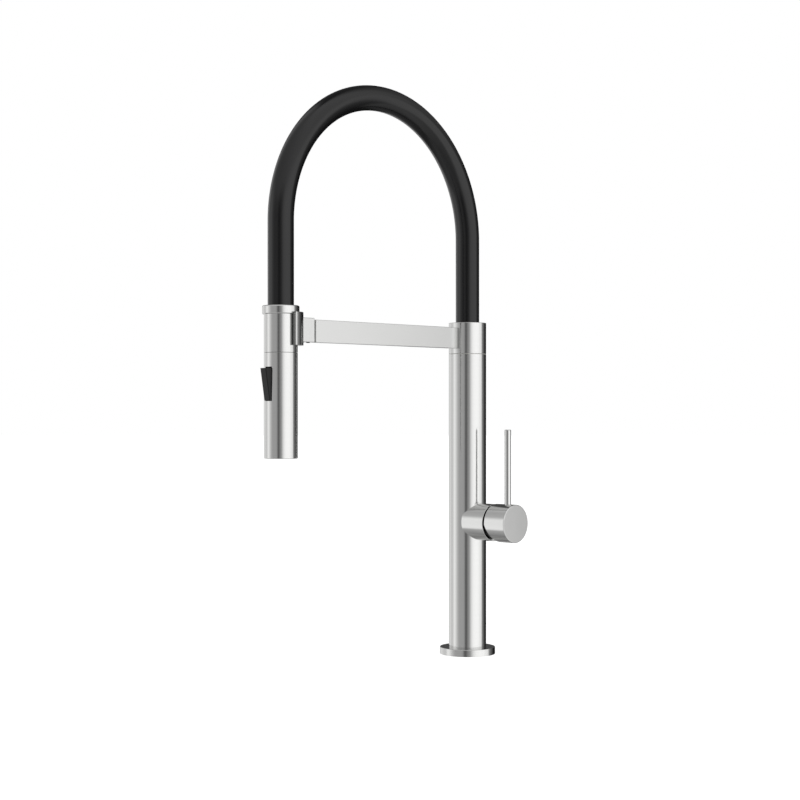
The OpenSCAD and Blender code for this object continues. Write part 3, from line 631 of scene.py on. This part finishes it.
@dataclass
class SpoutArm:
    """The swivel collar, the flat arm, the holder block and the dock saddle at its end."""

    shop: FinishShop
    edge_round: float = 0.4 * MM
    seam_round: float = 0.12 * MM
    block_round: float = 0.5 * MM
    neck_depth: float = 1.5 * MM
    neck_length: float = 2.9 * MM
    liner_thickness: float = 0.6 * MM
    seat_gap: float = 0.3 * MM
    saddle_lip: float = 0.35 * MM
    liner_lip: float = 0.08 * MM
    liner_set_back: float = 0.01
    sweep_steps: int = 96

    def collar(self) -> None:
        """Turns the collar, with a rounded top edge and the hole that the hose goes into."""
        box = Box.of("swivel_collar")
        radius, low, high = box.size.x / 2, box.low.z, box.high.z
        hose = Box.of("hose_sleeve")
        bore = hose.size.x / 2
        piece = turned("swivel_collar_shell", [(radius, low), (radius, high)])
        soften(piece, lambda co: co.z > high - TOUCH, self.edge_round)
        soften(piece, lambda co: co.z < low + TOUCH, self.seam_round, 2)
        carve(piece, turned("hose_seat", [(bore, hose.low.z), (bore, high + radius)]))
        spigot = Box.of("spigot_seals").size.x / 2
        spigot_top = Box.of("swivel_spigot").high.z
        carve(piece, turned("spigot_bore", [(spigot, low - radius), (spigot, spigot_top)]))
        finish_piece(piece, self.shop.round_z, "spout", ["swivel_collar"])

    def arm(self) -> None:
        """Saws the flat bar, saddles it onto the collar and necks it where it enters the holder block."""
        box = Box.of("support_arm")
        collar = Box.of("swivel_collar")
        holder = Box.of("holder_block")
        radius = collar.size.x / 2
        low = (box.low.x, holder.high.y, box.low.z)
        piece = block("support_arm_bar", low, (box.high.x, 0, box.high.z))
        soften(piece, lambda co: True, self.edge_round, along=(0, 1, 0))
        carve(piece, turned("collar_saddle", [(radius, 0.0), (radius, 2 * collar.high.z)]))
        joint = holder.high.y
        for side in (box.low.x, box.high.x):
            inner = side * (1 - self.neck_depth / abs(side))
            near, far = sorted((inner, 2 * side))
            carve(piece, block("neck_cut", (near, joint - radius, box.low.z - radius),
                               (far, joint + self.neck_length, box.high.z + radius)))
        # The bar takes the brightened steel, whose lighter tone is painted light.
        finish_piece(piece, self.shop.brightened_flat_bar, "spout", ["support_arm"])

    def holder(self) -> None:
        """Files the holder block to soft corners and saddles it onto the dock."""
        box = Box.of("holder_block")
        saddle = Box.of("dock_saddle")
        axis = Box.of("spray_ring").middle.y
        radius = saddle.size.x / 2
        piece = block("holder_block_body", (box.low.x, axis, box.low.z), tuple(box.high))
        soften(piece, lambda co: True, self.block_round)
        carve(piece, turned("dock_cut", [(radius, 0.0), (radius, 2 * box.high.z)], (0, axis, 0)))
        screws = Box.of("block_grub_screws")
        bore = screws.size.x / 2
        for place in (screws.low.y + bore, screws.high.y - bore):
            profile = [(bore, box.low.z - bore), (bore, screws.high.z)]
            carve(piece, turned("grub_bore", profile, (0, place, 0), sides=32))
        # The block takes the brightened steel, whose lighter tone is painted light.
        finish_piece(piece, self.shop.brightened_flat_bar, "spout", ["holder_block"])

    def swept_ring(self, name: str, inner: float, outer: float, low: float, high: float,
                   wrap: float, lip: float) -> bpy.types.Object:
        """Sweeps a softened strip section round the dock's axis to an open ring.

        Args:
            name: The piece's name.
            inner: Its inner radius.
            outer: Its outer radius.
            low: The height of its foot.
            high: The height of its top.
            wrap: How far past a half circle each end goes, in radians.
            lip: How far the section's corners are rounded.

        Returns:
            The open ring, in its place.
        """
        axis = Box.of("spray_ring").middle.y
        clear_selection()
        bpy.ops.mesh.primitive_plane_add(
            size=1, location=((inner + outer) / 2, 0, (low + high) / 2), rotation=(math.pi / 2, 0, 0))
        piece = bpy.context.active_object
        piece.name = piece.data.name = name
        piece.scale = (outer - inner, high - low, 1)
        bpy.ops.object.transform_apply(location=True, rotation=True, scale=True)
        open_mesh(piece, "FACE")
        bpy.ops.mesh.bevel(offset=lip, segments=3, affect="VERTICES")
        bpy.ops.mesh.select_all(action="SELECT")
        bpy.ops.mesh.spin(
            steps=self.sweep_steps, angle=-math.pi - 2 * wrap, center=(0, 0, 0), axis=(0, 0, 1))
        close_mesh()
        piece.data.transform(Matrix.Translation((0, axis, 0)) @ Matrix.Rotation(-wrap, 4, "Z"))
        return piece

    def dock(self) -> None:
        """Sweeps the saddle and its liner, and counterbores the saddle for the head's ring."""
        saddle, liner, ring = Box.of("dock_saddle"), Box.of("saddle_liner"), Box.of("spray_ring")
        axis = ring.middle.y
        outer = saddle.size.x / 2
        wrap = math.asin((axis - saddle.low.y) / outer)
        middle = liner.size.x / 2
        inner = middle - self.liner_thickness
        piece = self.swept_ring("dock_saddle_shell", middle, outer, saddle.low.z, saddle.high.z, wrap,
                                self.saddle_lip)
        seat = ring.size.x / 2 + self.seat_gap
        carve(piece, turned("ring_seat", [(seat, liner.high.z), (seat, saddle.high.z + seat)], (0, axis, 0)))
        finish_piece(piece, self.shop.round_z, "spout", ["dock_saddle"])
        strip = self.swept_ring("saddle_liner_strip", inner, middle, liner.low.z, liner.high.z,
                                wrap - self.liner_set_back, self.liner_lip)
        finish_piece(strip, self.shop.abs, "spout", ["saddle_liner"])

    def build(self) -> None:
        """Builds the arm's pieces."""
        self.collar()
        self.arm()
        self.holder()
        self.dock()


@dataclass
class ArchedHose:
    """The rubber sleeve, the support spring and the inner hose, built fixed in their resting arch; the real ones
    bend as the head is pulled out.
    """

    shop: FinishShop
    arch_steps: int = 96
    leg_steps: int = 12
    sleeve_sides: int = 64
    wire_radius: float = 0.8 * MM
    coil_pitch: float = 12.0 * MM
    coil_steps: int = 16
    sleeve_gap: float = 0.3 * MM
    spring_gap: float = 1.4 * MM
    nipple_cover: float = 12.0 * MM

    def route_sizes(self) -> tuple[float, float, float]:
        """Reads the route's sizes off the sleeve's box.

        Returns:
            The reach, the arch's radius and the height at which the arch starts.
        """
        sleeve = Box.of("hose_sleeve")
        reach = sleeve.size.y - sleeve.size.x
        return reach, reach / 2, sleeve.high.z - sleeve.size.x / 2 - reach / 2

    def tube(self, name: str, radius: float, foot: float, end_foot: float) -> bpy.types.Object:
        """Extrudes a round up the first leg, spins it over the arch and extrudes it down to the head.

        Args:
            name: The piece's name.
            radius: The tube's outer radius.
            foot: The height of its lower end in the collar.
            end_foot: The height of its lower end in the head.

        Returns:
            The closed tube, in its place.
        """
        _, arch, spring_line = self.route_sizes()
        clear_selection()
        bpy.ops.mesh.primitive_circle_add(
            vertices=self.sleeve_sides, radius=radius, fill_type="NGON", location=(0, 0, foot))
        piece = bpy.context.active_object
        piece.name = piece.data.name = name
        bpy.ops.object.transform_apply(location=True, rotation=True, scale=True)
        open_mesh(piece, "FACE")
        for _ in range(self.leg_steps):
            bpy.ops.mesh.extrude_region_move(
                TRANSFORM_OT_translate={"value": (0, 0, (spring_line - foot) / self.leg_steps)})
        bpy.ops.mesh.spin(
            steps=self.arch_steps, angle=-math.pi, center=(0, -arch, spring_line), axis=(1, 0, 0))
        for _ in range(self.leg_steps):
            bpy.ops.mesh.extrude_region_move(
                TRANSFORM_OT_translate={"value": (0, 0, (end_foot - spring_line) / self.leg_steps)})
        close_mesh()
        return piece

    def bend(self, piece: bpy.types.Object) -> None:
        """Bakes a piece's placement into its mesh, where it stays fixed and follows neither the collar nor the
        head.

        Args:
            piece: The finished tube or coil, which has no parent.
        """
        reach, _, _ = self.route_sizes()
        leg = Box.of("hose_sleeve").size.x / 2
        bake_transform(piece)

    def sleeve(self) -> None:
        """Builds the rubber sleeve."""
        sleeve = Box.of("hose_sleeve")
        end_foot = Box.of("hose_end_nut").high.z + self.sleeve_gap
        piece = self.tube("rubber_hose_sleeve", sleeve.size.x / 2, sleeve.low.z, end_foot)
        finish_piece(piece, self.shop.sleeve, None, ["hose_sleeve"])
        self.bend(piece)

    def water_hose(self) -> None:
        """Builds the inner water hose."""
        hose = Box.of("inner_hose")
        end_foot = Box.of("nipple_seal").high.z + self.nipple_cover
        piece = self.tube("inner_water_hose", hose.size.x / 2, hose.low.z, end_foot)
        finish_piece(piece, self.shop.nitrile, None, ["inner_hose"])
        self.bend(piece)

    def spring(self) -> None:
        """Winds the support spring along the hose's route."""
        _, arch, spring_line = self.route_sizes()
        spring = Box.of("hose_spring")
        coil = spring.size.x / 2 - self.wire_radius
        foot = spring.low.z + self.wire_radius
        end_foot = Box.of("hose_end_nut").high.z + self.spring_gap
        legs = (spring_line - foot, math.pi * arch, spring_line - end_foot)
        count = int(sum(legs) / self.coil_pitch * self.coil_steps)
        curve = bpy.data.curves.new("support_spring_coil", "CURVE")
        curve.dimensions = "3D"
        curve.bevel_depth = self.wire_radius
        curve.bevel_resolution = 2
        line = curve.splines.new("POLY")
        line.points.add(count)
        for number, point in enumerate(line.points):
            way = sum(legs) * number / count
            turn = min(max(0.0, (way - legs[0]) / arch), math.pi)
            rise = min(way, legs[0]) - max(0.0, way - legs[0] - legs[1])
            centre = Vector((0, arch * math.cos(turn) - arch, foot + rise + arch * math.sin(turn)))
            across = Vector((0, math.cos(turn), math.sin(turn)))
            phase = 2 * math.pi * number / self.coil_steps
            spot = centre + coil * (math.cos(phase) * across + math.sin(phase) * Vector((1, 0, 0)))
            point.co = (*spot, 1)
        piece = bpy.data.objects.new("support_spring_coil", curve)
        bpy.context.scene.collection.objects.link(piece)
        take(piece)
        bpy.ops.object.convert(target="MESH")
        piece = bpy.context.active_object
        finish_piece(piece, self.shop.drawn, None, ["hose_spring"])
        self.bend(piece)

    def build(self) -> None:
        """Builds the three pieces."""
        self.sleeve()
        self.water_hose()
        self.spring()


@dataclass
class SprayHead:
    """The head's ring, its two body tubes and the rocker paddle."""

    shop: FinishShop
    ring_round: float = 1.1 * MM
    seam_round: float = 0.2 * MM
    outlet_round: float = 0.5 * MM
    key_round: float = 0.8 * MM
    hose_gap: float = 0.3 * MM
    window_gap: float = 0.35 * MM
    window_rise: float = 1.17 * MM
    key_root: float = 0.9 * MM
    key_foot: float = 1.3 * MM

    def ring(self) -> None:
        """Turns the top ring, with well rounded edges and the hose's hole."""
        box = Box.of("spray_ring")
        low, high = Box.of("spray_upper_body").high.z, box.high.z
        radius, axis = box.size.x / 2, box.middle.y
        bore = Box.of("hose_sleeve").size.x / 2 + self.hose_gap
        piece = turned("spray_top_ring", [(radius, low), (radius, high)], (0, axis, 0))
        soften(piece, lambda co: co.z > high - TOUCH, self.ring_round, 4)
        soften(piece, lambda co: co.z < low + TOUCH, self.ring_round, 4)
        carve(piece, turned("hose_hole", [(bore, low - radius), (bore, high + radius)], (0, axis, 0)))
        finish_piece(piece, self.shop.round_z, "spray_head", ["spray_ring"])

    def upper(self) -> None:
        """Turns the head's upper tube."""
        box = Box.of("spray_upper_body")
        radius, low, high, axis = box.size.x / 2, box.low.z, box.high.z, box.middle.y
        bore = Box.of("keeper_ring").size.x / 2
        piece = turned("spray_upper_shell", [(radius, low), (radius, high)], (0, axis, 0))
        soften(piece, lambda co: co.z < low + TOUCH, self.seam_round, 2)
        carve(piece, turned("upper_bore", [(bore, low - radius), (bore, high + radius)], (0, axis, 0)))
        finish_piece(piece, self.shop.round_z, "spray_head", ["spray_upper_body"])

    def lower(self) -> None:
        """Turns the head's lower tube and cuts the paddle's window."""
        box, key = Box.of("spray_lower_body"), Box.of("spray_paddle")
        radius, low, high, axis = box.size.x / 2, box.low.z, box.high.z, box.middle.y
        bore = Box.of("keeper_ring").size.x / 2
        piece = turned("spray_lower_shell", [(radius, low), (radius, high)], (0, axis, 0))
        soften(piece, lambda co: co.z < low + TOUCH, self.outlet_round, 3)
        soften(piece, lambda co: co.z > high - TOUCH, self.seam_round, 2)
        carve(piece, turned("lower_bore", [(bore, low - radius), (bore, high + radius)], (0, axis, 0)))
        window = block("paddle_window",
                       (key.low.x - self.window_gap, axis - 2 * radius, key.low.z - self.window_gap),
                       (key.high.x + self.window_gap, axis - radius / 2, key.high.z + self.window_rise))
        carve(piece, window)
        finish_piece(piece, self.shop.round_z, "spray_head", ["spray_lower_body"])

    def paddle(self) -> None:
        """Files the rocker paddle: a wedge that stands proud at its top, with a rounded thumb face."""
        key, body = Box.of("spray_paddle"), Box.of("spray_lower_body")
        axis, wall = body.middle.y, body.size.x / 2
        back = axis - wall + self.key_root
        piece = block("spray_rocker_paddle", key.low, (key.high.x, back, key.high.z))
        slant = Vector((0, -key.size.z, key.low.y - (axis - wall - self.key_foot)))
        slice_off(piece, (0, key.low.y, key.high.z), slant.normalized())
        soften(piece, lambda co: co.y < back - TOUCH, self.key_round, 4)
        finish_piece(piece, self.shop.abs, "paddle", ["spray_paddle"])

    def build(self) -> None:
        """Builds the head's shells and its paddle."""
        self.ring()
        self.upper()
        self.lower()
        self.paddle()


@dataclass
class InnerWorks:
    """The CAD nodes that keep their own shape: everything inside the faucet and under the deck."""

    shop: FinishShop

    def build(self) -> None:
        """Gives each CAD node that still shows the finish of its slot."""
        finishes = self.shop.by_slot()
        slots = {row["node"]: row["material_slot"] for row in frame["record"]["subparts"]}
        for name, node in frame["nodes"].items():
            if node.hide_render:
                continue
            node.data.materials.clear()
            node.data.materials.append(finishes[slots[name]])
            log.info("%s: CAD node in %s", name, slots[name])


# ---------------------------------------------------------------- studio


@dataclass(frozen=True)
class Panorama:
    """The light round the faucet, by the angle to the right of the camera, in degrees, and by height."""

    strength: float = 1.75
    # The heights, as sines, between which the level light turns to the light above and below.
    above_blend: tuple[float, float] = (0.22, 0.5)
    below_blend: tuple[float, float] = (-0.42, -0.57)
    # The dark wall behind: how far round it begins, in degrees, how high, and its grey.
    wall_turn: tuple[float, float] = (145, 158)
    wall_height: tuple[float, float] = (0.06, 0.10)
    wall_grey: float = 0.05
    level: tuple[tuple[float, float], ...] = (
        (-180, 0.30), (-140, 0.62), (-113, 0.51), (-102, 0.56), (-93, 0.79), (-84, 0.74),
        (-76, 0.59), (-69, 0.47), (-61, 0.37), (-54, 0.31), (-28, 0.30), (-22, 0.27), (-15, 0.095),
        (-9, 0.078), (-3, 0.17), (9, 0.28), (15, 0.47), (22, 0.69), (28, 0.78), (34, 0.87),
        (52, 0.92), (69, 0.90), (76, 0.82), (84, 0.78), (90, 0.75), (93, 0.73), (95, 0.60), (98, 0.31),
        (103, 0.19), (111, 0.12), (122, 0.06), (134, 0.008))
    above: tuple[tuple[float, float], ...] = (
        (-180, 0.12), (-166, 0.17), (-150, 0.31), (-132, 0.43), (-106, 0.33), (-90, 0.38), (-45, 0.50),
        (0, 0.60), (45, 0.70), (90, 0.60), (120, 0.20), (150, 0.10), (180, 0.10))
    below: tuple[tuple[float, float], ...] = (
        (-180, 0.14), (-162, 0.14), (-150, 0.09), (-141, 0.11), (-131, 0.13), (-118, 0.21), (-106, 0.26),
        (-95, 0.33), (-60, 0.40), (0, 0.30), (90, 0.50), (150, 0.10), (180, 0.14))


@dataclass
class Studio:
    """The floor, the backdrop, the light and the camera."""

    azimuth: float = 43.8
    distance: float = 1.5348
    aside: float = 0.0633
    eye_height: float = 0.2267
    lens: float = 73.6
    rise: float = 0.0144
    dome_radius: float = 14.0
    floor_glow: float = 0.9
    floor_albedo: float = 0.35
    panorama: Panorama = Panorama()

    @property
    def ahead(self) -> Vector:
        """The direction that the camera looks in."""
        turn = math.radians(self.azimuth)
        return Vector((-math.sin(turn), math.cos(turn), 0))

    @property
    def right(self) -> Vector:
        """The direction to the camera's right."""
        turn = math.radians(self.azimuth)
        return Vector((math.cos(turn), math.sin(turn), 0))

    def camera(self) -> None:
        """Sets the level camera up in front of the faucet's right corner."""
        data = bpy.data.cameras.new("front_corner_camera")
        data.lens, data.sensor_width, data.shift_y = self.lens, 36, self.rise
        data.clip_start, data.clip_end = 0.05, 100
        camera = bpy.data.objects.new("front_corner_camera", data)
        eye = Vector((0, 0, self.eye_height))
        camera.location = eye - self.distance * self.ahead - self.aside * self.right
        camera.rotation_mode = "QUATERNION"
        camera.rotation_quaternion = self.ahead.to_track_quat("-Z", "Y")
        bpy.context.scene.collection.objects.link(camera)
        bpy.context.scene.camera = camera

    def glowing(self, name: str, glow: float, albedo: float) -> bpy.types.Material:
        """Makes a plain pale material that is partly lit from within.

        Args:
            name: The material's name.
            glow: The light that it gives off.
            albedo: The share of the light on it that it sends back.

        Returns:
            The material.
        """
        material, _, shader = new_material(name)
        shader.inputs["Base Color"].default_value = (albedo, albedo, albedo, 1)
        shader.inputs["Roughness"].default_value = 1.0
        shader.inputs["Specular IOR Level"].default_value = 0.0
        shader.inputs["Emission Color"].default_value = (1, 1, 1, 1)
        shader.inputs["Emission Strength"].default_value = glow
        return material

    def backdrop(self) -> None:
        """Lays the pale floor and puts a plain white dome round it, which only the camera sees."""
        clear_selection()
        bpy.ops.mesh.primitive_circle_add(vertices=128, radius=self.dome_radius, fill_type="NGON")
        floor = bpy.context.active_object
        floor.name = "studio_floor"
        floor.data.materials.append(self.glowing("matt_white_floor", self.floor_glow, self.floor_albedo))
        floor.visible_glossy = False
        clear_selection()
        bpy.ops.mesh.primitive_uv_sphere_add(segments=64, ring_count=32, radius=self.dome_radius)
        dome = bpy.context.active_object
        dome.name = "studio_backdrop"
        dome.data.materials.append(self.glowing("white_backdrop", 1.0, 0.0))
        for ray in ("visible_glossy", "visible_diffuse", "visible_transmission", "visible_shadow"):
            setattr(dome, ray, False)

    def math(self, tree: bpy.types.NodeTree, operation: str, first: object,
             second: object = 0.0) -> bpy.types.NodeSocket:
        """Adds one arithmetic node and returns its result."""
        node = add_node(tree, "ShaderNodeMath", {"operation": operation}, {0: first, 1: second})
        return node.outputs["Value"]

    def ease(self, tree: bpy.types.NodeTree, value: bpy.types.NodeSocket, low: float,
             high: float) -> bpy.types.NodeSocket:
        """Adds a smooth step from low to high and returns its result."""
        node = add_node(tree, "ShaderNodeMapRange", {"interpolation_type": "SMOOTHSTEP"}, {
            "Value": value, "From Min": low, "From Max": high})
        return node.outputs["Result"]

    def blend_levels(self, tree: bpy.types.NodeTree, share: bpy.types.NodeSocket, first: bpy.types.NodeSocket,
                     second: object) -> bpy.types.NodeSocket:
        """Adds a colour mix and returns its result."""
        node = add_node(tree, "ShaderNodeMix", {"data_type": "RGBA"}, {0: share, 6: first, 7: second})
        return node.outputs[2]

    def light(self) -> None:
        """Hangs the soft light: bright and dark panels round the faucet, blended up and down."""
        world = bpy.data.worlds.new("soft_studio_light")
        bpy.context.scene.world = world
        world.use_nodes = True
        tree = world.node_tree
        tree.nodes.clear()
        way = add_node(tree, "ShaderNodeTexCoord").outputs["Generated"]
        side = add_node(tree, "ShaderNodeVectorMath", {"operation": "DOT_PRODUCT"}, {0: way, 1: self.right})
        back = add_node(tree, "ShaderNodeVectorMath", {"operation": "DOT_PRODUCT"}, {0: way, 1: -self.ahead})
        height = add_node(tree, "ShaderNodeSeparateXYZ", inputs={"Vector": way}).outputs["Z"]
        angle = self.math(tree, "ARCTAN2", side.outputs["Value"], back.outputs["Value"])
        turn = self.math(tree, "ADD", self.math(tree, "DIVIDE", angle, 2 * math.pi), 0.5)
        bands = {}
        for name in ("level", "above", "below"):
            ramp = add_node(tree, "ShaderNodeValToRGB", inputs={"Fac": turn})
            stops = [(degrees / 360 + 0.5, grey) for degrees, grey in getattr(self.panorama, name)]
            set_stops(ramp.color_ramp, stops)
            bands[name] = ramp.outputs["Color"]
        up = self.ease(tree, height, *self.panorama.above_blend)
        look = self.blend_levels(tree, up, bands["level"], bands["above"])
        down = self.ease(tree, height, *self.panorama.below_blend)
        look = self.blend_levels(tree, down, look, bands["below"])
        to_side = self.math(tree, "ABSOLUTE", angle)
        behind = self.ease(tree, to_side, *map(math.radians, self.panorama.wall_turn))
        raised = self.ease(tree, height, *self.panorama.wall_height)
        shade = self.math(tree, "MULTIPLY", behind, raised)
        look = self.blend_levels(tree, shade, look, (*[self.panorama.wall_grey] * 3, 1))
        background = add_node(tree, "ShaderNodeBackground", inputs={
            "Color": look, "Strength": self.panorama.strength})
        add_node(tree, "ShaderNodeOutputWorld", inputs={"Surface": background.outputs["Background"]})

    def build(self) -> None:
        """Sets the studio up."""
        self.camera()
        self.backdrop()
        self.light()
        bpy.context.scene.view_settings.view_transform = "Standard"


def main() -> None:
    """Builds the studio and every sub-assembly, in order."""
    logging.basicConfig(level=logging.INFO, format="%(name)s %(message)s")
    Studio().build()
    shop = FinishShop()
    for assembly in (ColumnAssembly, ValveAssembly, SpoutArm, ArchedHose, SprayHead, InnerWorks):
        assembly(shop).build()


if __name__ == "__main__":
    main()
